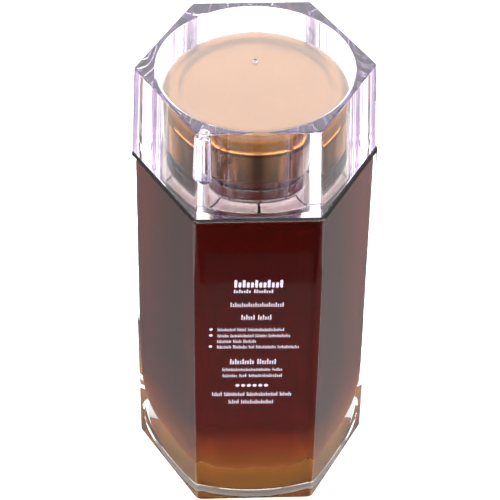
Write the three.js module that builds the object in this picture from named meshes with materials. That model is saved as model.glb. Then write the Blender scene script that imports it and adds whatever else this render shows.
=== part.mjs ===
// Hexagonal glass honey jar: a tall jar full of honey, a gold twist-off lid on its round neck,
// a clear hexagonal cover over the lid, and a clear film label on the front face.
// Millimetres, +Z up. The origin is the centre of the base, and the label faces -Y.
import * as THREE from "three";
import { mergeVertices } from "three/addons/utils/BufferGeometryUtils.js";

// Glass jar
const JAR_ACROSS_FLATS = 67;
const JAR_SHOULDER_HEIGHT = 128;
const JAR_CORNER_RADIUS = 2.5;
const HEEL_RADIUS = 1.5;
const SHOULDER_RADIUS = 1.3;
const WALL = 3.5;
const BASE_THICKNESS = 7;
const PUNT_HEIGHT = 2.8;
const PUNT_RADIUS = 30.3;
const PUNT_EDGE = 3.8;
const CAVITY_CORNER_RADIUS = 10;
const CAVITY_BOTTOM_RADIUS = 18.5;
const CAVITY_SHOULDER_RADIUS = 3.5;
const SHOULDER_THICKNESS = 3;

// Round seat and neck of the jar
const SEAT_RADIUS = 30.8;
const SEAT_HEIGHT = 1.2;
const SEAT_EDGE = 0.4;
const NECK_RADIUS = 26.6;
const NECK_BORE = 23.2;
const NECK_FILLET = 2.6;
const BORE_FILLET = 2;
const BEAD_HEIGHT = 134.4;
const BEAD_RADIUS = 0.9;
const MOUTH_HEIGHT = 150.3;
const MOUTH_RADIUS = 0.8;

// Honey
const HONEY_LEVEL = 143.5;
const HONEY_GAP = 0.3;

// Gold lid
const LID_RADIUS = 28.9;
const LID_TOP = 152.1;
const LID_FOOT = 138.6;
const LID_WALL = 0.55;
const LID_SHOULDER_RADIUS = 3.2;
const LID_PANEL_RADIUS = 21.6;
const LID_PANEL_DEPTH = 0.8;
const LID_PANEL_STEP = 2.6;
const CURL_RADIUS = 0.95;

// Clear cover
const COVER_TOP = 160.6;
const COVER_GAP = 0.1;
const COVER_SHIFT = -0.25;
const COVER_TOP_FLATS = 63.4;
const COVER_FOOT_FLATS = 65.8;
const COVER_CORNER_RADIUS = 1.2;
const COVER_EDGE_RADIUS = 0.6;
const COVER_PLATE = 1.1;
const COVER_BORE_TOP = 30.35;
const COVER_BORE_FOOT = 31.3;
const COVER_BORE_FILLET = 0.5;
const GATE_RADIUS = 0.9;
const GATE_HEIGHT = 0.5;

// Film label
const LABEL_WIDTH = 33.7;
const LABEL_BOTTOM = 37;
const LABEL_TOP = 114.7;
const LABEL_SHIFT = -0.3;
const LABEL_TILT = THREE.MathUtils.degToRad(0.7);
const LABEL_CORNER_RADIUS = 1;
const LABEL_THICKNESS = 0.12;
const LABEL_GAP = 0.05;

const QUARTER = Math.PI / 2;
const SECTOR = Math.PI / 3;

// Directions round the axis, given in degrees from a corner of the hexagon to the middle of a flat.
// They lie close together on a rounded corner and wide apart on a flat.
const JAR_DIRECTIONS = sixFold([0, 0.94, 1.89, 5, 9, 19, 30]);
const HONEY_DIRECTIONS = sixFold([0, 3, 6, 9, 19, 30]);
const COVER_DIRECTIONS = sixFold([0, 0.94, 5, 12, 21, 30]);
const LID_DIRECTIONS = sixFold([0, 7.5, 15, 22.5, 30]);

function sixFold(half) {
  const mirrored = half.slice(1, -1).reverse().map((a) => 60 - a);
  const sector = [...half, ...mirrored];
  return [0, 1, 2, 3, 4, 5].flatMap((k) => sector.map((a) => k * SECTOR + THREE.MathUtils.degToRad(a)));
}

// A ring of the surface at height z. size is its radius, or half its width across flats if it has corners.
function ring(size, z, corner = null) {
  return { size, z, corner };
}

// Rings along a round edge whose centre is (size, z), from one angle of its section to another.
function edge(size, z, radius, from, to, steps, corner = null) {
  return Array.from({ length: steps + 1 }, (_, i) => {
    const t = from + ((to - from) * i) / steps;
    return ring(size + radius * Math.cos(t), z + radius * Math.sin(t), corner);
  });
}

// Distance from the axis to a round or hexagonal ring, in a direction.
function reach({ size, corner }, angle) {
  if (corner === null || size === 0) return size;
  const off = Math.abs(angle - SECTOR * Math.round(angle / SECTOR));
  const centre = (size - corner) / Math.cos(SECTOR / 2);
  const tangent = Math.atan2(corner * Math.sin(SECTOR / 2), centre + corner * Math.cos(SECTOR / 2));
  if (off >= tangent) return size / Math.cos(SECTOR / 2 - off);
  return centre * Math.cos(off) + Math.sqrt(corner ** 2 - (centre * Math.sin(off)) ** 2);
}

// A closed surface through rings that start and end on the axis. The lathe gives the faces,
// and each of its points then goes to where its ring reaches in its direction.
function turned(rings, angles) {
  const lathe = new THREE.LatheGeometry(rings.map((r) => new THREE.Vector2(r.size, r.z)), angles.length);
  const position = lathe.getAttribute("position");
  for (let i = 0; i <= angles.length; i++) {
    const angle = angles[i % angles.length];
    rings.forEach((r, j) => {
      const far = reach(r, angle);
      position.setXYZ(i * rings.length + j, far * Math.cos(angle), far * Math.sin(angle), r.z);
    });
  }
  lathe.deleteAttribute("normal");
  lathe.deleteAttribute("uv");
  const merged = mergeVertices(lathe, 1e-4);
  const index = merged.index.array;
  const kept = [];
  for (let i = 0; i < index.length; i += 3) {
    const [a, b, c] = index.slice(i, i + 3);
    if (a !== b && b !== c && c !== a) kept.push(a, b, c);
  }
  merged.setIndex(kept);
  merged.computeVertexNormals();
  return merged;
}

function jarRings() {
  const flat = JAR_ACROSS_FLATS / 2;
  const inside = flat - WALL;
  const shoulder = JAR_SHOULDER_HEIGHT;
  const seatTop = shoulder + SEAT_HEIGHT;
  const ceiling = shoulder - SHOULDER_THICKNESS;
  const hex = JAR_CORNER_RADIUS;
  const cavity = CAVITY_CORNER_RADIUS;
  const base = [
    ring(0, PUNT_HEIGHT),
    ring(PUNT_RADIUS - PUNT_EDGE, PUNT_HEIGHT * 0.82),
    ring(PUNT_RADIUS - PUNT_EDGE * 0.6, PUNT_HEIGHT * 0.71),
    ring(PUNT_RADIUS - PUNT_EDGE * 0.26, PUNT_HEIGHT * 0.43),
    ring(PUNT_RADIUS, 0),
  ];
  const outside = [
    ...edge(flat - HEEL_RADIUS, HEEL_RADIUS, HEEL_RADIUS, -QUARTER, 0, 2, hex),
    ...edge(flat - SHOULDER_RADIUS, shoulder - SHOULDER_RADIUS, SHOULDER_RADIUS, 0, QUARTER, 3, hex),
  ];
  const seat = [
    ring(SEAT_RADIUS, shoulder),
    ring(SEAT_RADIUS, seatTop - SEAT_EDGE),
    ring(SEAT_RADIUS - SEAT_EDGE, seatTop),
  ];
  const neck = [
    ...edge(NECK_RADIUS + NECK_FILLET, seatTop + NECK_FILLET, NECK_FILLET, -QUARTER, -2 * QUARTER, 3),
    ...edge(NECK_RADIUS, BEAD_HEIGHT, BEAD_RADIUS, -QUARTER, QUARTER, 3),
    ...edge(NECK_RADIUS - MOUTH_RADIUS, MOUTH_HEIGHT - MOUTH_RADIUS, MOUTH_RADIUS, 0, QUARTER, 1),
    ...edge(NECK_BORE + MOUTH_RADIUS, MOUTH_HEIGHT - MOUTH_RADIUS, MOUTH_RADIUS, QUARTER, 2 * QUARTER, 1),
  ];
  const roof = [
    ...edge(NECK_BORE + BORE_FILLET, ceiling + BORE_FILLET, BORE_FILLET, 2 * QUARTER, 3 * QUARTER, 2),
    ...edge(
      inside - CAVITY_SHOULDER_RADIUS, ceiling - CAVITY_SHOULDER_RADIUS,
      CAVITY_SHOULDER_RADIUS, QUARTER, 0, 2, cavity,
    ),
  ];
  const floor = edge(
    inside - CAVITY_BOTTOM_RADIUS, BASE_THICKNESS + CAVITY_BOTTOM_RADIUS,
    CAVITY_BOTTOM_RADIUS, 0, -QUARTER, 5, cavity,
  );
  return [...base, ...outside, ...seat, ...neck, ...roof, ...floor, ring(0, BASE_THICKNESS)];
}

// The honey fills the jar's cavity up into the neck, a small gap inside the glass.
function honeyRings() {
  const inside = JAR_ACROSS_FLATS / 2 - WALL;
  const ceiling = JAR_SHOULDER_HEIGHT - SHOULDER_THICKNESS;
  const cavity = CAVITY_CORNER_RADIUS - HONEY_GAP;
  const bore = NECK_BORE - HONEY_GAP;
  return [
    ring(0, BASE_THICKNESS + HONEY_GAP),
    ...edge(
      inside - CAVITY_BOTTOM_RADIUS, BASE_THICKNESS + CAVITY_BOTTOM_RADIUS,
      CAVITY_BOTTOM_RADIUS - HONEY_GAP, -QUARTER, 0, 4, cavity,
    ),
    ...edge(
      inside - CAVITY_SHOULDER_RADIUS, ceiling - CAVITY_SHOULDER_RADIUS,
      CAVITY_SHOULDER_RADIUS - HONEY_GAP, 0, QUARTER, 2, cavity,
    ),
    ...edge(
      NECK_BORE + BORE_FILLET, ceiling + BORE_FILLET, BORE_FILLET + HONEY_GAP, 3 * QUARTER, 2 * QUARTER, 2,
    ),
    ring(bore, HONEY_LEVEL),
    ring(0, HONEY_LEVEL),
  ];
}

// Drawn tinplate: a sunk round panel, a raised ring, a rounded shoulder, a skirt and an inward curl.
function lidRings() {
  const panel = LID_TOP - LID_PANEL_DEPTH;
  const shoulder = LID_RADIUS - LID_SHOULDER_RADIUS;
  const bend = LID_TOP - LID_SHOULDER_RADIUS;
  const curl = LID_FOOT + CURL_RADIUS;
  const step = LID_PANEL_RADIUS + LID_PANEL_STEP;
  const outside = [
    ring(0, panel),
    ring(LID_PANEL_RADIUS, panel),
    ring((LID_PANEL_RADIUS + step) / 2, panel + LID_PANEL_DEPTH / 2),
    ring(step, LID_TOP),
    ...edge(shoulder, bend, LID_SHOULDER_RADIUS, QUARTER, 0, 4),
  ];
  const hem = edge(LID_RADIUS - CURL_RADIUS, curl, CURL_RADIUS, 0, -2.3 * QUARTER, 6);
  const inside = [
    ...edge(shoulder, bend, LID_SHOULDER_RADIUS - LID_WALL, 0, QUARTER, 4),
    ring(step, LID_TOP - LID_WALL),
    ring((LID_PANEL_RADIUS + step) / 2, panel + LID_PANEL_DEPTH / 2 - LID_WALL),
    ring(LID_PANEL_RADIUS, panel - LID_WALL),
    ring(0, panel - LID_WALL),
  ];
  return [...outside, ...hem, ...inside].reverse();
}

// Moulded clear plastic: a hexagon outside, a round bore inside, a thin top plate with a gate mark.
function coverRings() {
  const foot = JAR_SHOULDER_HEIGHT + COVER_GAP;
  const ceiling = COVER_TOP - COVER_PLATE;
  const hex = COVER_CORNER_RADIUS;
  const gate = [
    ring(0, COVER_TOP + GATE_HEIGHT),
    ring(GATE_RADIUS * 0.6, COVER_TOP + GATE_HEIGHT * 0.8),
    ring(GATE_RADIUS, COVER_TOP),
  ];
  const outside = [
    ...edge(
      COVER_TOP_FLATS / 2 - COVER_EDGE_RADIUS, COVER_TOP - COVER_EDGE_RADIUS,
      COVER_EDGE_RADIUS, QUARTER, 0, 2, hex,
    ),
    ring(COVER_FOOT_FLATS / 2, foot, hex),
  ];
  const bore = [
    ring(COVER_BORE_FOOT, foot),
    ...edge(
      COVER_BORE_TOP - COVER_BORE_FILLET, ceiling - COVER_BORE_FILLET, COVER_BORE_FILLET, 0, QUARTER, 2,
    ),
    ring(0, ceiling),
  ];
  return [...gate, ...outside, ...bore].reverse();
}

// A thin film with rounded corners, stuck a little askew on the front flat.
function labelGeometry() {
  const height = LABEL_TOP - LABEL_BOTTOM;
  const w = LABEL_WIDTH / 2 - LABEL_CORNER_RADIUS;
  const h = height / 2 - LABEL_CORNER_RADIUS;
  const outline = new THREE.Shape();
  outline.absarc(w, h, LABEL_CORNER_RADIUS, 0, QUARTER);
  outline.absarc(-w, h, LABEL_CORNER_RADIUS, QUARTER, 2 * QUARTER);
  outline.absarc(-w, -h, LABEL_CORNER_RADIUS, 2 * QUARTER, 3 * QUARTER);
  outline.absarc(w, -h, LABEL_CORNER_RADIUS, 3 * QUARTER, 4 * QUARTER);
  outline.closePath();
  const film = new THREE.ExtrudeGeometry(outline, {
    depth: LABEL_THICKNESS, bevelEnabled: false, curveSegments: 3,
  });
  return film.rotateX(QUARTER);
}

function part(name, geometry, look) {
  const mesh = new THREE.Mesh(geometry, new THREE.MeshStandardMaterial(look));
  mesh.name = name;
  return mesh;
}

const clear = { transparent: true, opacity: 0.3, metalness: 0 };
const glass = { ...clear, color: 0xe8eef0, roughness: 0.02 };
const darkHoney = { color: 0x5a1e0e, roughness: 0.1, metalness: 0 };
const goldLacquer = { color: 0xc79a5e, roughness: 0.25, metalness: 1 };
const clearPlastic = { ...clear, color: 0xf4f2fa, roughness: 0.03 };
const printedFilm = { ...clear, color: 0x6e3a34, roughness: 0.3 };

const jar = part("glass_jar", turned(jarRings(), JAR_DIRECTIONS), glass);
const honey = part("honey", turned(honeyRings(), HONEY_DIRECTIONS), darkHoney);
const lid = part("gold_lid", turned(lidRings(), LID_DIRECTIONS), goldLacquer);
const cover = part("clear_cover", turned(coverRings(), COVER_DIRECTIONS), clearPlastic);
const label = part("film_label", labelGeometry(), printedFilm);
label.position.set(LABEL_SHIFT, -JAR_ACROSS_FLATS / 2 - LABEL_GAP, (LABEL_BOTTOM + LABEL_TOP) / 2);
label.rotation.y = LABEL_TILT;
cover.position.x = COVER_SHIFT;

const honeyJar = new THREE.Group();
honeyJar.name = "honey_jar";
honeyJar.add(jar, honey, lid, cover, label);

export default honeyJar;
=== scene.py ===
"""A hexagonal glass jar of honey, its gold lid under a clear cover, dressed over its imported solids."""

import math

import bmesh
import bpy
from mathutils import Matrix, Vector


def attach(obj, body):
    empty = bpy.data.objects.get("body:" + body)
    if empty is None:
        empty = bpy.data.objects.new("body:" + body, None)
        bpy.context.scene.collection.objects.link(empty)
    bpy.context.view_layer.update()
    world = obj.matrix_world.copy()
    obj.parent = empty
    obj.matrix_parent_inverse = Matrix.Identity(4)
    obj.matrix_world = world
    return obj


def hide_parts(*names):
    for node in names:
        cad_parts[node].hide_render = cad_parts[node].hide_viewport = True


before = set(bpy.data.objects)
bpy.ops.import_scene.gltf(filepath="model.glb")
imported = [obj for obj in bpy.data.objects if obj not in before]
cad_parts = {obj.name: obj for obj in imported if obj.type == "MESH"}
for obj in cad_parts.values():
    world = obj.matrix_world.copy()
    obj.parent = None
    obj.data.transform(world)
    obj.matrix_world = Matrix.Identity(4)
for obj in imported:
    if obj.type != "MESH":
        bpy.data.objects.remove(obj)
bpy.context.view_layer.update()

# Glass jar
# Clear flint glass, pressed and blown in a mould: six flat sides, a thick base hollowed underneath,
# a flat shoulder with a low round seat for the cover, and a round neck for the twist-off lid.

MM = 0.001
QUARTER = math.pi / 2
JAR_FLATS = 67.0
JAR_CORNER = 2.5
SHOULDER = 128.0
HEEL = 1.5
SHOULDER_EDGE = 1.3
PUNT_RIM = 30.3
PUNT_WALL = 3.8
PUNT = 2.8
PUNT_WALL_SHARE = 0.82
PUNT_CROWN = 16.0
PUNT_CROWN_SHARE = 0.95
PUNT_MIDDLE = 6.0
SEAT = 30.8
SEAT_TOP = 129.2
SEAT_EDGE = 0.4
NECK = 26.6
NECK_FILLET = 2.6
BEAD_HEIGHT = 134.4
BEAD = 0.9
MOUTH = 150.3
MOUTH_EDGE = 0.8
BORE = 23.2
FILL_LEVEL = 143.5
HEEL_START = 0.2
BARE_BORE = 0.5


def hexagon_rim(name, across_flats, corner, height):
    """A new object in edit mode: one rounded hexagon, flats to front and back, all of it selected."""
    corner_steps = 10
    flat_cuts = 17
    bpy.ops.object.select_all(action="DESELECT")
    bpy.ops.mesh.primitive_circle_add(
        vertices=6, radius=across_flats / 2 / math.cos(math.pi / 6) * MM,
        location=(0, 0, height * MM), rotation=(0, 0, math.pi / 6),
    )
    bpy.ops.object.transform_apply(location=True, rotation=True, scale=True)
    rim = bpy.context.object
    rim.name = name
    rim.data.name = name
    bpy.ops.object.mode_set(mode="EDIT")
    bpy.ops.mesh.select_mode(type="EDGE")
    bpy.ops.mesh.select_all(action="SELECT")
    bpy.ops.mesh.bevel(
        offset=corner * math.tan(math.pi / 6) * MM, affect="VERTICES",
        segments=corner_steps, profile=0.5,
    )
    mesh = bmesh.from_edit_mesh(rim.data)
    longest = max(edge.calc_length() for edge in mesh.edges)
    for edge in mesh.edges:
        edge.select_set(edge.calc_length() > 0.9 * longest)
    bmesh.update_edit_mesh(rim.data)
    bpy.ops.mesh.subdivide(number_cuts=flat_cuts)
    bpy.ops.mesh.select_all(action="SELECT")
    return rim


def rim_now():
    """Half the width across flats of the selected rim, or its radius, and its height, in millimetres."""
    mesh = bmesh.from_edit_mesh(bpy.context.object.data)
    chosen = [v.co for v in mesh.verts if v.select]
    return max(co.y for co in chosen) / MM, chosen[0].z / MM


def pull(size, height):
    """Draws a new ring out of the selected rim, to this size and height."""
    old_size, old_height = rim_now()
    bpy.ops.mesh.extrude_edges_move(TRANSFORM_OT_translate={"value": (0, 0, (height - old_height) * MM)})
    bpy.ops.transform.resize(value=(size / old_size, size / old_size, 1), center_override=(0, 0, 0))


def pull_round(size, height, radius, start, end, steps):
    """Draws the rim round an edge of this radius about (size, height), from one angle to another."""
    for step in range(steps + 1):
        angle = start + (end - start) * step / steps
        pull(size + radius * math.cos(angle), height + radius * math.sin(angle))


def pull_to_circle(radius):
    """Draws a round ring out of the selected hexagon, at the same height."""
    bpy.ops.mesh.extrude_edges_move(TRANSFORM_OT_translate={"value": (0, 0, 0)})
    bpy.ops.transform.tosphere(value=1)
    scale = radius / rim_now()[0]
    bpy.ops.transform.resize(value=(scale, scale, 1), center_override=(0, 0, 0))


def close_rim():
    """Closes the selected rim with a flat fan of faces."""
    bpy.ops.mesh.extrude_edges_move(TRANSFORM_OT_translate={"value": (0, 0, 0)})
    bpy.ops.mesh.merge(type="CENTER")


def select_open_rims(test):
    """Selects the open edges whose middle, in millimetres, passes the test."""
    mesh = bmesh.from_edit_mesh(bpy.context.object.data)
    bpy.ops.mesh.select_all(action="DESELECT")
    for edge in mesh.edges:
        middle = (edge.verts[0].co + edge.verts[1].co) / 2 / MM
        edge.select_set(edge.is_boundary and test(middle))
    bmesh.update_edit_mesh(bpy.context.object.data)


def turn_faces(inside=False):
    """Turns all faces of the mesh outwards, or inwards for the wall of a bubble."""
    bpy.ops.mesh.select_all(action="SELECT")
    bpy.ops.mesh.normals_make_consistent(inside=inside)


def finish_skin(piece, angle):
    """Leaves edit mode, smooth but for edges sharper than the angle, with flats kept flat."""
    bpy.ops.object.mode_set(mode="OBJECT")
    bpy.ops.object.shade_smooth_by_angle(angle=math.radians(angle))
    weigh = piece.modifiers.new("flats_stay_flat", "WEIGHTED_NORMAL")
    weigh.keep_sharp = True
    bpy.ops.object.modifier_apply(modifier=weigh.name)


def fill_skin(name, grow):
    """The inside of the jar up to the honey's level, as an open skin moved this far into the glass."""
    inside = 30.0
    corner = 9.0
    floor = 7.0
    bottom_edge = 18.5
    ceiling = 125.0
    ceiling_edge = 3.5
    bore_edge = 2.0
    bottom_start = 0.1
    start = inside - bottom_edge
    skin = hexagon_rim(name, 2 * start, corner * start / inside, floor - grow)
    pull_round(start, floor + bottom_edge, bottom_edge + grow, bottom_start - QUARTER, 0, 14)
    pull_round(inside - ceiling_edge, ceiling - ceiling_edge, ceiling_edge + grow, 0, QUARTER, 8)
    pull_to_circle(BORE + bore_edge)
    pull_round(BORE + bore_edge, ceiling + bore_edge, bore_edge - grow, -QUARTER, -2 * QUARTER, 6)
    pull(BORE + grow, FILL_LEVEL)
    select_open_rims(lambda middle: middle.z < floor + 1)
    pull(0.5 * start, floor - grow)
    close_rim()
    return skin


def linear(code):
    """A six-digit sRGB colour as linear red, green, blue and alpha."""
    parts = [int(code[i:i + 2], 16) / 255 for i in (1, 3, 5)]
    return tuple(c / 12.92 if c <= 0.04045 else ((c + 0.055) / 1.055) ** 2.4 for c in parts) + (1.0,)


def add_node(tree, kind, values=None, **settings):
    """Adds a node; a value that is an output socket is linked, any other is set on the input."""
    node = tree.nodes.new(kind)
    for name, setting in settings.items():
        setattr(node, name, setting)
    for name, value in (values or {}).items():
        if isinstance(value, bpy.types.NodeSocket):
            tree.links.new(value, node.inputs[name])
        else:
            node.inputs[name].default_value = value
    return node


def new_material(name):
    """A node material and its main shader."""
    material = bpy.data.materials.new(name)
    material.use_nodes = True
    return material, material.node_tree.nodes["Principled BSDF"]


def set_inputs(shader, values):
    """Sets several of the shader's inputs."""
    for name, value in values.items():
        shader.inputs[name].default_value = value


# Flint glass: colourless and glossy. Its faces are a little wavy from the mould, so edges seen in it waver.
glass, shader = new_material("pressed flint glass")
set_inputs(shader, {
    "Base Color": linear("#FBFDFC"), "Roughness": 0.0, "IOR": 1.5, "Transmission Weight": 1.0,
})
tree = glass.node_tree
place = add_node(tree, "ShaderNodeTexCoord")
wave_size = 14.0
wave_height = 0.08
wave = add_node(tree, "ShaderNodeTexNoise", {
    "Vector": place.outputs["Object"], "Scale": 1 / (wave_size * MM), "Detail": 1.0,
})
bump = add_node(tree, "ShaderNodeBump", {
    "Height": wave.outputs["Fac"], "Strength": 1.0, "Distance": wave_height * MM,
})
tree.links.new(bump.outputs["Normal"], shader.inputs["Normal"])

# Where honey wets the glass, both bend light almost alike, so that surface does not show.
wetted, shader = new_material("honey-wetted glass")
tree = wetted.node_tree
clear = add_node(tree, "ShaderNodeBsdfTransparent")
tree.links.new(clear.outputs["BSDF"], tree.nodes["Material Output"].inputs["Surface"])
tree.nodes.remove(shader)

# The seat that carries the cover is stippled in the mould, so it looks pale but for twelve clear gaps.
stipple, shader = new_material("stippled glass seat")
set_inputs(shader, {"Base Color": linear("#EBD1CB"), "IOR": 1.49})
tree = stipple.node_tree
place = add_node(tree, "ShaderNodeTexCoord")
split = add_node(tree, "ShaderNodeSeparateXYZ", {"Vector": place.outputs["Object"]})
turn = add_node(tree, "ShaderNodeMath", {
    0: split.outputs["Y"], 1: split.outputs["X"],
}, operation="ARCTAN2")
gap_pitch = math.pi / 6
gap_half = 0.55 / SEAT
gap_clear = 0.7 * gap_half
off = add_node(tree, "ShaderNodeMath", {
    0: turn.outputs["Value"], 1: gap_pitch / 2,
}, operation="PINGPONG")
clearing = add_node(tree, "ShaderNodeMapRange", {
    "Value": off.outputs["Value"], "From Min": gap_clear, "From Max": gap_half,
    "To Min": 1.0, "To Max": 0.1,
})
tree.links.new(clearing.outputs["Result"], shader.inputs["Transmission Weight"])
matt = add_node(tree, "ShaderNodeMapRange", {
    "Value": off.outputs["Value"], "From Min": gap_clear, "From Max": gap_half,
    "To Min": 0.0, "To Max": 0.4,
})
tree.links.new(matt.outputs["Result"], shader.inputs["Roughness"])

lining = fill_skin("jar_lining", 0.0)
bpy.ops.object.mode_set(mode="OBJECT")
lining.data.materials.append(wetted)

jar = hexagon_rim("jar_glass", JAR_FLATS - 2 * HEEL, JAR_CORNER, 0)
pull_round(JAR_FLATS / 2 - HEEL, HEEL, HEEL, HEEL_START - QUARTER, 0, 6)
pull_round(JAR_FLATS / 2 - SHOULDER_EDGE, SHOULDER - SHOULDER_EDGE, SHOULDER_EDGE, 0, QUARTER, 8)
pull_to_circle(SEAT)
pull(SEAT, SEAT_TOP - SEAT_EDGE)
pull_round(SEAT - SEAT_EDGE, SEAT_TOP - SEAT_EDGE, SEAT_EDGE, 0, QUARTER, 4)
pull_round(NECK + NECK_FILLET, SEAT_TOP + NECK_FILLET, NECK_FILLET, -QUARTER, -2 * QUARTER, 8)
pull_round(NECK, BEAD_HEIGHT, BEAD, -QUARTER, QUARTER, 8)
pull_round(NECK - MOUTH_EDGE, MOUTH - MOUTH_EDGE, MOUTH_EDGE, 0, QUARTER, 5)
pull_round(BORE + MOUTH_EDGE, MOUTH - MOUTH_EDGE, MOUTH_EDGE, QUARTER, 2 * QUARTER, 5)
pull(BORE, FILL_LEVEL + BARE_BORE)
select_open_rims(lambda middle: middle.z < 1)
pull_to_circle(PUNT_RIM)
for share in (0.04, 0.1, 0.18, 0.28, 0.4, 0.55, 0.75, 1.0):
    rise = PUNT_WALL_SHARE * PUNT * math.sin(QUARTER * share ** 0.8)
    pull(PUNT_RIM - PUNT_WALL * share, rise)
pull(PUNT_CROWN, PUNT_CROWN_SHARE * PUNT)
pull(PUNT_MIDDLE, PUNT)
close_rim()
bpy.ops.object.mode_set(mode="OBJECT")
jar.data.materials.append(glass)

bpy.ops.object.select_all(action="DESELECT")
lining.select_set(True)
jar.select_set(True)
bpy.context.view_layer.objects.active = jar
bpy.ops.object.join()
bpy.ops.object.mode_set(mode="EDIT")
select_open_rims(lambda middle: True)
bpy.ops.mesh.bridge_edge_loops()
turn_faces()
finish_skin(jar, 35)
jar.data.materials.append(stipple)
stipple_low = SEAT_TOP - 0.1
stipple_high = SEAT_TOP + 0.9
for face in jar.data.polygons:
    centre = face.center / MM
    if stipple_low < centre.z < stipple_high and centre.xy.length > NECK:
        face.material_index = len(jar.data.materials) - 1
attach(jar, "root")
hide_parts("glass_jar")

# Honey
# A dark honey that fills the jar up into its neck, cloudier towards the bottom where it has begun to set.
# It reaches a hair into the glass wall, as liquid does against glass, so that no gap shows.

REACH = 0.15
UNDERSIDE_GLOW_LOW = 7.0
UNDERSIDE_GLOW_HIGH = 9.5
AMBER_LOW = 24.0
AMBER_HIGH = 42.0
CLOUD_LOW = -34.0
CLOUD_HIGH = 36.0

honey = fill_skin("honey_fill", REACH)
select_open_rims(lambda middle: middle.z > FILL_LEVEL - 1)
close_rim()
turn_faces()
finish_skin(honey, 40)

# Honey: light that crosses it loses blue first, then green, so deep honey is a dark red-brown. The cloudy
# honey at the bottom scatters light as well, so it shows amber there. Its flat underside is painted a
# brighter amber, a painted glow for the light that comes up through the base.
amber, shader = new_material("dark honey")
set_inputs(shader, {"Roughness": 0.8, "IOR": 1.05})
tree = amber.node_tree
place = add_node(tree, "ShaderNodeTexCoord")
split = add_node(tree, "ShaderNodeSeparateXYZ", {"Vector": place.outputs["Object"]})
depth = add_node(tree, "ShaderNodeMapRange", {
    "Value": split.outputs["Z"], "From Min": AMBER_LOW * MM, "From Max": AMBER_HIGH * MM,
}, interpolation_type="SMOOTHSTEP")
underside = add_node(tree, "ShaderNodeMapRange", {
    "Value": split.outputs["Z"], "From Min": UNDERSIDE_GLOW_LOW * MM, "From Max": UNDERSIDE_GLOW_HIGH * MM,
})
# Painted glow: the bottom face gets a brighter amber than the honey just above it.
painted_underside_glow = add_node(tree, "ShaderNodeMix", {
    "Factor": underside.outputs["Result"], "A": linear("#FFB450"), "B": linear("#DA8A46"),
}, data_type="RGBA")
tone = add_node(tree, "ShaderNodeMix", {
    "Factor": depth.outputs["Result"], "A": painted_underside_glow.outputs["Result"], "B": linear("#E7BC95"),
}, data_type="RGBA")
tree.links.new(tone.outputs["Result"], shader.inputs["Base Color"])
clearing = add_node(tree, "ShaderNodeMapRange", {
    "Value": split.outputs["Z"], "From Min": CLOUD_LOW * MM, "From Max": CLOUD_HIGH * MM,
    "To Min": -0.3, "To Max": 1.0,
}, interpolation_type="SMOOTHSTEP")
tree.links.new(clearing.outputs["Result"], shader.inputs["Transmission Weight"])
loss = add_node(tree, "ShaderNodeVolumeAbsorption", {"Color": linear("#CB7800"), "Density": 125.0})
tree.links.new(loss.outputs["Volume"], tree.nodes["Material Output"].inputs["Volume"])
honey.data.materials.append(amber)
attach(honey, "root")
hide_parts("honey")

# Gold lid
# A twist-off lid drawn from tinplate and lacquered gold: a sunk panel, a raised ring, a rounded shoulder,
# a plain skirt and a hem that curls inwards. It screws onto the neck.

LID_RADIUS = 28.9
LID_TOP = 152.1
LID_FOOT = 138.6
LID_SHEET = 0.3
LID_EDGE = 3.2
PANEL = 21.6
PANEL_DEPTH = 0.8
PANEL_STEP = 2.6
CURL = 0.95
CURL_TURN = 2.6 * QUARTER


def round_rim(name, radius, height):
    """A new object in edit mode: one circle, all of it selected."""
    bpy.ops.object.select_all(action="DESELECT")
    bpy.ops.mesh.primitive_circle_add(vertices=160, radius=radius * MM, location=(0, 0, height * MM))
    bpy.ops.object.transform_apply(location=True, rotation=True, scale=True)
    rim = bpy.context.object
    rim.name = name
    rim.data.name = name
    bpy.ops.object.mode_set(mode="EDIT")
    bpy.ops.mesh.select_mode(type="EDGE")
    bpy.ops.mesh.select_all(action="SELECT")
    return rim


panel_height = LID_TOP - PANEL_DEPTH
lid = round_rim("lid_gold", PANEL - 2, panel_height)
step_parts = 8
for part in range(step_parts + 1):
    share = part / step_parts
    rise = PANEL_DEPTH * (0.5 - 0.5 * math.cos(math.pi * share))
    pull(PANEL + PANEL_STEP * share, panel_height + rise)
pull_round(LID_RADIUS - LID_EDGE, LID_TOP - LID_EDGE, LID_EDGE, QUARTER, 0, 10)
pull_round(LID_RADIUS - CURL, LID_FOOT + CURL, CURL, 0, -CURL_TURN, 14)
select_open_rims(lambda middle: middle.z > LID_FOOT + 5)
pull(0.5 * PANEL, panel_height)
close_rim()
turn_faces()
bpy.ops.object.mode_set(mode="OBJECT")
sheet = lid.modifiers.new("tinplate", "SOLIDIFY")
sheet.thickness = LID_SHEET * MM
sheet.offset = -1
bpy.ops.object.modifier_apply(modifier=sheet.name)
bpy.ops.object.shade_smooth_by_angle(angle=math.radians(40))

# Gold lacquer on tinplate: a metal sheen, a little satin, with a tone that drifts a shade over the sheet.
gold, shader = new_material("gold lacquered tinplate")
set_inputs(shader, {"Metallic": 1.0, "Roughness": 0.18})
tree = gold.node_tree
place = add_node(tree, "ShaderNodeTexCoord")
patch_size = 9.0
patches = add_node(tree, "ShaderNodeTexNoise", {
    "Vector": place.outputs["Object"], "Scale": 1 / (patch_size * MM), "Detail": 1.0,
})
tone = add_node(tree, "ShaderNodeMix", {
    "Factor": patches.outputs["Fac"], "A": linear("#7B5129"), "B": linear("#81572F"),
}, data_type="RGBA")
tree.links.new(tone.outputs["Result"], shader.inputs["Base Color"])
lid.data.materials.append(gold)
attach(lid, "root")
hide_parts("gold_lid")

# Clear cover
# A cap of clear polystyrene, moulded in one shot: a hexagon outside and a round bore inside, so its corners
# are thick. It has a thin top plate with the mark of the gate, and a shrinkage void in one corner. It drops
# over the lid.

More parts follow.
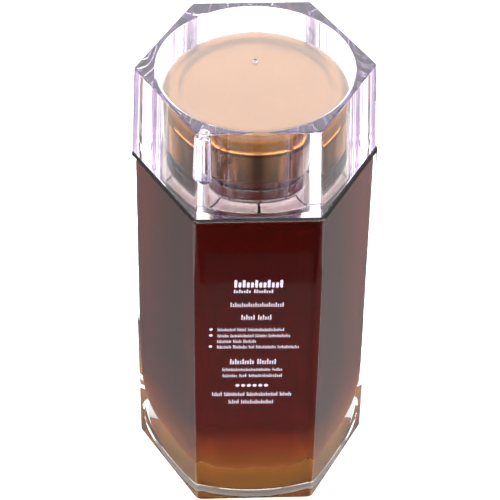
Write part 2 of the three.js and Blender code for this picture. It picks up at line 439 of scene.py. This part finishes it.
COVER_FOOT = 128.1
COVER_TOP = 160.6
COVER_FOOT_FLATS = 65.8
COVER_TOP_FLATS = 63.4
COVER_SHIFT = -0.25
VOID_PLACE = (-16.0, -29.3)
VOID_RADIUS = 2.2
VOID_TOP_RADIUS = 1.9
VOID_BOTTOM = 142.7
VOID_TOP = 156.6
VOID_TURN = 1.4
VOID_NEXT_TURN = 1.2
COVER_CORNER = 1.2
COVER_EDGE = 0.6
COVER_PLATE = 1.1
COVER_BORE_FOOT = 31.3
COVER_BORE_TOP = 30.35
COVER_BORE_EDGE = 0.5
COVER_FOOT_EDGE = 0.2
COVER_RIM = 2.5
GATE = 0.8
GATE_HEIGHT = 0.4
GATE_BACK = 2.1
GATE_APRON = 1.2
GATE_REGION = 3.0

cover = hexagon_rim("cover_clear", COVER_FOOT_FLATS - 2 * COVER_FOOT_EDGE, COVER_CORNER, COVER_FOOT)
pull(COVER_FOOT_FLATS / 2, COVER_FOOT + COVER_FOOT_EDGE)
pull_round(COVER_TOP_FLATS / 2 - COVER_EDGE, COVER_TOP - COVER_EDGE, COVER_EDGE, 0, QUARTER, 6)
pull(COVER_TOP_FLATS / 2 - COVER_RIM, COVER_TOP)
pull_to_circle(GATE + GATE_APRON)
pull(GATE, COVER_TOP)
pull(0.9 * GATE, COVER_TOP + 0.8 * GATE_HEIGHT)
pull(0.7 * GATE, COVER_TOP + GATE_HEIGHT)
pull(0.4 * GATE, COVER_TOP + 0.5 * GATE_HEIGHT)
close_rim()
mesh = bmesh.from_edit_mesh(cover.data)
bpy.ops.mesh.select_all(action="DESELECT")
bpy.ops.mesh.select_mode(type="VERT")
for vertex in mesh.verts:
    on_top = vertex.co.z > (COVER_TOP - 0.01) * MM
    vertex.select_set(on_top and vertex.co.xy.length < GATE_REGION * MM)
bmesh.update_edit_mesh(cover.data)
bpy.ops.transform.translate(value=(0, GATE_BACK * MM, 0))
bpy.ops.mesh.select_mode(type="EDGE")
select_open_rims(lambda middle: middle.z < COVER_FOOT + 1)
pull_to_circle(COVER_BORE_FOOT)
plate_under = COVER_TOP - COVER_PLATE
pull_round(
    COVER_BORE_TOP - COVER_BORE_EDGE, plate_under - COVER_BORE_EDGE, COVER_BORE_EDGE, 0, QUARTER, 5,
)
pull(GATE + GATE_APRON, plate_under)
close_rim()
turn_faces()
bpy.ops.object.mode_set(mode="OBJECT")

void = round_rim(
    "cover_void", VOID_TOP_RADIUS * math.cos(VOID_TURN), VOID_TOP + VOID_TOP_RADIUS * math.sin(VOID_TURN),
)
pull_round(0, VOID_TOP, VOID_TOP_RADIUS, VOID_NEXT_TURN, 0, 6)
pull_round(0, VOID_BOTTOM, VOID_RADIUS, 0, -VOID_TURN, 8)
close_rim()
select_open_rims(lambda middle: True)
close_rim()
turn_faces(inside=True)
bpy.ops.transform.translate(value=(VOID_PLACE[0] * MM, VOID_PLACE[1] * MM, 0))
bpy.ops.object.mode_set(mode="OBJECT")

bpy.ops.object.select_all(action="DESELECT")
void.select_set(True)
cover.select_set(True)
bpy.context.view_layer.objects.active = cover
bpy.ops.object.join()
bpy.ops.object.mode_set(mode="EDIT")
bpy.ops.mesh.select_all(action="SELECT")
bpy.ops.transform.translate(value=(COVER_SHIFT * MM, 0, 0))
finish_skin(cover, 35)

# Clear polystyrene: bends light more than glass, and has a faint violet cast and soft flow marks.
polystyrene, shader = new_material("clear moulded polystyrene")
set_inputs(shader, {
    "Base Color": linear("#FFFFFF"), "Roughness": 0.0, "IOR": 1.57, "Transmission Weight": 1.0,
})
tree = polystyrene.node_tree
place = add_node(tree, "ShaderNodeTexCoord")
flow_width = 3.0
flow_length = 40.0
flow_height = 0.03
stretch = add_node(tree, "ShaderNodeMapping", {
    "Vector": place.outputs["Object"],
    "Scale": (1 / (flow_width * MM), 1 / (flow_width * MM), 1 / (flow_length * MM)),
})
flow = add_node(tree, "ShaderNodeTexNoise", {
    "Vector": stretch.outputs["Vector"], "Scale": 1.0, "Detail": 1.0,
})
bump = add_node(tree, "ShaderNodeBump", {
    "Height": flow.outputs["Fac"], "Strength": 1.0, "Distance": flow_height * MM,
})
tree.links.new(bump.outputs["Normal"], shader.inputs["Normal"])
loss = add_node(tree, "ShaderNodeVolumeAbsorption", {"Color": linear("#EADAF6"), "Density": 38.0})
tree.links.new(loss.outputs["Volume"], tree.nodes["Material Output"].inputs["Volume"])
cover.data.materials.append(polystyrene)
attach(cover, "root")
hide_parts("clear_cover")

# Film label
# Clear self-adhesive film, a thin sheet stuck by hand on the front face, a little askew.
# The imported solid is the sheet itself, so it stays and only gets its material.

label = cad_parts["film_label"]

# Label film: clear, with a dull gloss that varies over the sheet, so it only just shows on the glass.
film, shader = new_material("clear label film")
set_inputs(shader, {"Base Color": linear("#272727"), "Alpha": 0.045})
tree = film.node_tree
place = add_node(tree, "ShaderNodeTexCoord")
ripple_size = 6.0
ripple = add_node(tree, "ShaderNodeTexNoise", {
    "Vector": place.outputs["Object"], "Scale": 1 / (ripple_size * MM), "Detail": 2.0,
})
gloss = add_node(tree, "ShaderNodeMapRange", {
    "Value": ripple.outputs["Fac"], "To Min": 0.22, "To Max": 0.38,
})
tree.links.new(gloss.outputs["Result"], shader.inputs["Roughness"])
label.data.materials.clear()
label.data.materials.append(film)

# Print
# White ink on the film: a bold heading, lines of small blocks in groups, three bullets and a row of dots.
# It is screen printed, a thin layer that lies level with the front of the film.

INK_FRONT = -33.65
INK_BACK = -33.6
PRINT_CENTRE = (-0.3, 76.0)
PRINT_TURN = math.radians(1.2)
SHORT_BLOCK = 0.68
BULLET = 1.1
BULLET_X = -14.7
DOT = 1.3
DOT_START = -5.7
DOT_PITCH = 1.84
DOT_HEIGHT = 56.6


def ink_slab(name, corners):
    """One unit wide and high, in the plane of the label: a square with rounded corners, or a disc."""
    bpy.ops.object.select_all(action="DESELECT")
    bpy.ops.mesh.primitive_plane_add(size=1.0, rotation=(QUARTER, 0, 0))
    bpy.ops.object.transform_apply(location=True, rotation=True, scale=True)
    slab = bpy.context.object
    slab.name = name
    bpy.ops.object.mode_set(mode="EDIT")
    bpy.ops.mesh.select_all(action="SELECT")
    bpy.ops.mesh.bevel(offset=corners, affect="VERTICES", segments=4, profile=0.5)
    bpy.ops.mesh.select_all(action="SELECT")
    thickness = (INK_BACK - INK_FRONT) * MM
    bpy.ops.mesh.extrude_region_move(TRANSFORM_OT_translate={"value": (0, thickness, 0)})
    bpy.ops.mesh.select_all(action="SELECT")
    bpy.ops.transform.translate(value=(0, INK_FRONT * MM, 0))
    turn_faces()
    bpy.ops.object.mode_set(mode="OBJECT")
    return slab


def stamp(slab, x, z, width, height):
    """A copy of the slab, this wide and high, centred here on the label, in millimetres."""
    copy = slab.copy()
    copy.data = slab.data.copy()
    bpy.context.collection.objects.link(copy)
    bpy.ops.object.select_all(action="DESELECT")
    copy.select_set(True)
    bpy.context.view_layer.objects.active = copy
    copy.scale = (width * MM, 1, height * MM)
    copy.location = (x * MM, 0, z * MM)
    bpy.ops.object.transform_apply(location=True, rotation=True, scale=True)
    prints.append(copy)


def print_line(z, start, end, height, groups, boldness=0.5):
    """A line at height z, from start to end, of blocks in groups that stand one block apart.

    The first block of a group and every third block are as tall as the line, the others shorter.
    """
    pitch = (end - start) / (sum(groups) + len(groups) - 1)
    x = start + pitch / 2
    count = 0
    for blocks in groups:
        for block in range(blocks):
            tall = block == 0 or count % 3 == 2
            size = height if tall else SHORT_BLOCK * height
            stamp(block_slab, x, z - (height - size) / 2, boldness * pitch, size)
            x += pitch
            count += 1
        x += pitch


prints = []
block_slab = ink_slab("ink_block", 0.22)
disc_slab = ink_slab("ink_disc", 0.499)
print_line(101.9, -8.1, 7.3, 3.2, (12,), 0.7)
print_line(98.7, -8.1, 4.3, 1.5, (7, 8), 0.6)
print_line(92.9, -9.0, 7.8, 1.9, (24,))
print_line(87.4, -5.5, 4.2, 2.2, (6, 6))
print_line(82.0, -12.7, 8.3, 1.5, (12, 6, 24))
print_line(79.3, -12.7, 10.3, 1.5, (8, 16, 8, 15))
print_line(76.8, -12.7, -0.4, 1.5, (10, 6, 9))
print_line(74.3, -12.7, 13.3, 1.5, (10, 10, 4, 14, 15))
print_line(67.6, -8.5, 6.4, 2.4, (10, 8), 0.55)
print_line(64.0, -10.8, 8.4, 1.5, (29, 6))
print_line(61.2, -10.7, 8.5, 1.5, (8, 4, 18))
print_line(52.6, -13.9, 11.9, 1.9, (6, 12, 18, 7))
print_line(49.0, -8.5, 6.1, 1.9, (6, 18))
for z in (82.1, 79.5, 74.5):
    stamp(disc_slab, BULLET_X, z, BULLET, BULLET)
for step in range(6):
    stamp(disc_slab, DOT_START + DOT_PITCH * step, DOT_HEIGHT, DOT, DOT)

bpy.ops.object.select_all(action="DESELECT")
block_slab.select_set(True)
disc_slab.select_set(True)
bpy.ops.object.delete()
for piece in prints:
    piece.select_set(True)
bpy.context.view_layer.objects.active = prints[0]
bpy.ops.object.join()
ink_print = prints[0]
ink_print.name = "label_print"
ink_print.data.name = "label_print"
bpy.ops.object.mode_set(mode="EDIT")
bpy.ops.mesh.select_all(action="SELECT")
bpy.ops.transform.rotate(
    value=-PRINT_TURN, orient_axis="Y",
    center_override=(PRINT_CENTRE[0] * MM, 0, PRINT_CENTRE[1] * MM),
)
bpy.ops.object.mode_set(mode="OBJECT")

# Screen ink: matt and opaque, a cool white, laid a little unevenly by the screen.
ink, shader = new_material("white screen ink")
set_inputs(shader, {"Roughness": 0.6})
tree = ink.node_tree
place = add_node(tree, "ShaderNodeTexCoord")
screen_pitch = 0.5
lay = add_node(tree, "ShaderNodeTexNoise", {
    "Vector": place.outputs["Object"], "Scale": 1 / (screen_pitch * MM), "Detail": 2.0,
})
tone = add_node(tree, "ShaderNodeMix", {
    "Factor": lay.outputs["Fac"], "A": linear("#ACA3B2"), "B": linear("#C6BDCA"),
}, data_type="RGBA")
tree.links.new(tone.outputs["Result"], shader.inputs["Base Color"])
ink_print.data.materials.clear()
ink_print.data.materials.append(ink)
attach(ink_print, "root")

# Floor and light
# A white table under a white tent, bright behind the jar. In front the tent is dark but for a low strip
# light, and cards lie on the table, unseen by the camera, for the gold lid and the glass to mirror.

FLOOR_SIZE = 6.0
FLOOR_FRONT = -0.036
FLOOR_HEIGHT = -0.1 * MM
GLOW_PLACE = (0, 14 * MM, 0)


def lay_sheet(name, width, depth, x, y, z=0.0):
    """A flat sheet of this width and depth, centred here, in metres."""
    bpy.ops.object.select_all(action="DESELECT")
    bpy.ops.mesh.primitive_plane_add(size=1.0, location=(0, 0, 0))
    bpy.ops.transform.resize(value=(width, depth, 1))
    bpy.ops.transform.translate(value=(x, y, z))
    bpy.ops.object.transform_apply(location=True, rotation=True, scale=True)
    sheet = bpy.context.object
    sheet.name = name
    return sheet


def level(value, low, high, start, end):
    """A level that goes from start to end while the value goes from low to high, in millimetres."""
    node = add_node(tree, "ShaderNodeMapRange", {
        "Value": value, "From Min": low * MM, "From Max": high * MM, "To Min": start, "To Max": end,
    })
    return node.outputs["Result"]


def combine(operation, first, second):
    """The result of one sum on two levels."""
    node = add_node(tree, "ShaderNodeMath", {0: first, 1: second}, operation=operation)
    return node.outputs["Value"]


floor = lay_sheet("floor", FLOOR_SIZE, FLOOR_SIZE, 0, FLOOR_SIZE / 2 + FLOOR_FRONT, FLOOR_HEIGHT)

# Matt white table, lit from below behind, beside and under the jar, so light comes up through the honey.
white, shader = new_material("matt white table")
set_inputs(shader, {
    "Base Color": linear("#CBCBCB"), "Roughness": 0.9, "Emission Color": linear("#FFFFFF"),
})
tree = white.node_tree
place = add_node(tree, "ShaderNodeTexCoord")
split = add_node(tree, "ShaderNodeSeparateXYZ", {"Vector": place.outputs["Object"]})
from_glow = add_node(tree, "ShaderNodeVectorMath", {
    0: place.outputs["Object"], 1: GLOW_PLACE,
}, operation="SUBTRACT")
away = add_node(tree, "ShaderNodeVectorMath", {0: from_glow.outputs["Vector"]}, operation="LENGTH")
aside = add_node(tree, "ShaderNodeMath", {0: split.outputs["X"]}, operation="ABSOLUTE").outputs["Value"]
fading = combine("POWER", math.e, level(split.outputs["Y"], 40, 160, 0, -2))
behind = combine("MULTIPLY", fading, level(split.outputs["Y"], 28, 38, 0, 3.8))
beside = level(aside, 55, 110, 0.0, 1.0)
under = level(away.outputs["Value"], 14, 22, 0.95, 0.0)
lit = combine("MAXIMUM", combine("MAXIMUM", behind, beside), under)
path = add_node(tree, "ShaderNodeLightPath")
lit = combine("MAXIMUM", lit, path.outputs["Is Camera Ray"])
tree.links.new(lit, shader.inputs["Emission Strength"])
floor.data.materials.append(white)
floor.visible_glossy = False

# Grey card right in front of the jar, a painted shade where the table in front lies in shade: a soft dark
# field low in the glass and the gold.
grey, shader = new_material("painted shade grey card")
set_inputs(shader, {"Base Color": linear("#606060"), "Roughness": 0.9})
front_shade_card = lay_sheet("front_shade_card", 0.26, 0.104, 0, -0.088)
front_shade_card.data.materials.append(grey)
front_shade_card.visible_camera = False

# White card to the right of it: a bright end to the skirt's mirror image.
paper, shader = new_material("white card")
set_inputs(shader, {"Base Color": linear("#EFEFEF"), "Roughness": 0.9})
side_card = lay_sheet("side_card", 0.2, 0.08, 0.23, -0.076)
side_card.data.materials.append(paper)
side_card.visible_camera = False
side_card.visible_glossy = False

# White card in the jar's shade, farther out: dark in the middle of the skirt and light at its sides. Its
# light and shade are painted: it glows, faintly in the middle and brightly at its sides.
shade, shader = new_material("glowing card with painted shade")
set_inputs(shader, {
    "Base Color": linear("#202020"), "Roughness": 0.9, "Emission Color": linear("#FFFFFF"),
})
tree = shade.node_tree
place = add_node(tree, "ShaderNodeTexCoord")
split = add_node(tree, "ShaderNodeSeparateXYZ", {"Vector": place.outputs["Object"]})
aside = add_node(tree, "ShaderNodeMath", {0: split.outputs["X"]}, operation="ABSOLUTE").outputs["Value"]
# Painted shade and light: the card's glow is weak in the middle and strong at its sides.
tree.links.new(level(aside, 15, 110, 0.12, 0.85), shader.inputs["Emission Strength"])
far_card = lay_sheet("far_card", 0.6, 0.14, 0, -0.21)
far_card.data.materials.append(shade)
far_card.visible_camera = False
far_card.visible_glossy = False

world = bpy.data.worlds.new("light tent")
bpy.context.scene.world = world
world.use_nodes = True
tree = world.node_tree
background = tree.nodes["Background"]
place = add_node(tree, "ShaderNodeTexCoord")
split = add_node(tree, "ShaderNodeSeparateXYZ", {"Vector": place.outputs["Generated"]})


def blend(value, low, high, start, end):
    """A level that goes smoothly from start to end while the value goes from low to high."""
    node = add_node(tree, "ShaderNodeMapRange", {
        "Value": value, "From Min": low, "From Max": high, "To Min": start, "To Max": end,
    }, interpolation_type="SMOOTHSTEP")
    return node.outputs["Result"]


def band(value, low, full, fade, high):
    """A level that is one from full to fade, and goes smoothly to nothing at low and at high."""
    return combine("MULTIPLY", blend(value, low, full, 0, 1), blend(value, fade, high, 1, 0))


def softbox(direction, inner, outer, strength):
    """A round patch of light with a soft edge, between two half angles in degrees."""
    along = add_node(tree, "ShaderNodeVectorMath", {
        0: place.outputs["Generated"], 1: Vector(direction).normalized(),
    }, operation="DOT_PRODUCT")
    edge = math.cos(math.radians(outer))
    full = math.cos(math.radians(inner))
    return blend(along.outputs["Value"], edge, full, 0, strength)


aside = add_node(tree, "ShaderNodeMath", {0: split.outputs["X"]}, operation="ABSOLUTE").outputs["Value"]
ahead = split.outputs["Y"]
height = split.outputs["Z"]

# The tent's walls grow brighter upwards, and the front wall starts from nearly black.
front = blend(ahead, -0.2, -0.6, 0, 1)
side_walls = combine("MULTIPLY", blend(height, -0.1, 0.8, 0.56, 1.4), combine("SUBTRACT", 1.0, front))
front_wall = combine("MULTIPLY", blend(height, 0.3, 0.8, 0.06, 1.4), front)
room = combine("ADD", side_walls, front_wall)

# The back wall has a light of its own, brightest in the middle and up to the tent's roof.
back_wall = combine("MULTIPLY", blend(ahead, 0.4, 0.65, 0, 1), blend(aside, 0.3, 0.55, 1, 0.2))
room = combine("ADD", room, combine("MULTIPLY", back_wall, blend(height, 0.66, 0.73, 1.8, 0.5)))

# Two soft patches low on either side stand for the light that the table throws back.
for side in (-1, 1):
    room = combine("ADD", room, softbox((0.75 * side, -0.15, -0.65), 12, 24, 0.9))

# The strip light in front, with a brighter core that leaves out its middle.
strip = combine("MULTIPLY", band(height, 0.0, 0.1, 0.5, 0.62), blend(ahead, -0.05, -0.35, 0, 3.0))
room = combine("ADD", room, strip)
core = combine("MULTIPLY", band(height, 0.12, 0.2, 0.3, 0.38), blend(ahead, -0.05, -0.35, 0, 10.0))
core = combine("MULTIPLY", core, blend(aside, 0.1, 0.25, 0.2, 1))
room = combine("ADD", room, core)

path = add_node(tree, "ShaderNodeLightPath")
seen = combine("MAXIMUM", room, path.outputs["Is Camera Ray"])
background.inputs["Color"].default_value = linear("#FFFFFF")
tree.links.new(seen, background.inputs["Strength"])

scene = bpy.context.scene
scene.view_settings.view_transform = "Standard"
scene.cycles.use_denoising = True
scene.cycles.max_bounces = 32
scene.cycles.transmission_bounces = 32
scene.cycles.glossy_bounces = 16
scene.cycles.transparent_max_bounces = 32

# Camera
# It looks down on the jar from in front with a long lens, tilted a little, as the photograph was taken.

CAMERA_PLACE = Vector((-26.179, -518.376, 570.264))
AZIMUTH = math.radians(-2.772)
ELEVATION = math.radians(43.095)
ROLL = math.radians(0.858)
FOCAL_PIXELS = 2195.73
IMAGE_PIXELS = 500

back = Vector((
    math.sin(AZIMUTH) * math.cos(ELEVATION),
    -math.cos(AZIMUTH) * math.cos(ELEVATION),
    math.sin(ELEVATION),
))
right = Vector((0, 0, 1)).cross(back).normalized()
up = back.cross(right)
right, up = (
    math.cos(ROLL) * right + math.sin(ROLL) * up,
    -math.sin(ROLL) * right + math.cos(ROLL) * up,
)
lens = bpy.data.cameras.new("camera")
lens.sensor_width = 36.0
lens.lens = lens.sensor_width * FOCAL_PIXELS / IMAGE_PIXELS
lens.clip_start = 0.05
lens.clip_end = 20.0
camera = bpy.data.objects.new("camera", lens)
bpy.context.collection.objects.link(camera)
stance = Matrix((right, up, back)).transposed().to_4x4()
camera.matrix_world = Matrix.Translation(CAMERA_PLACE * MM) @ stance
scene.camera = camera
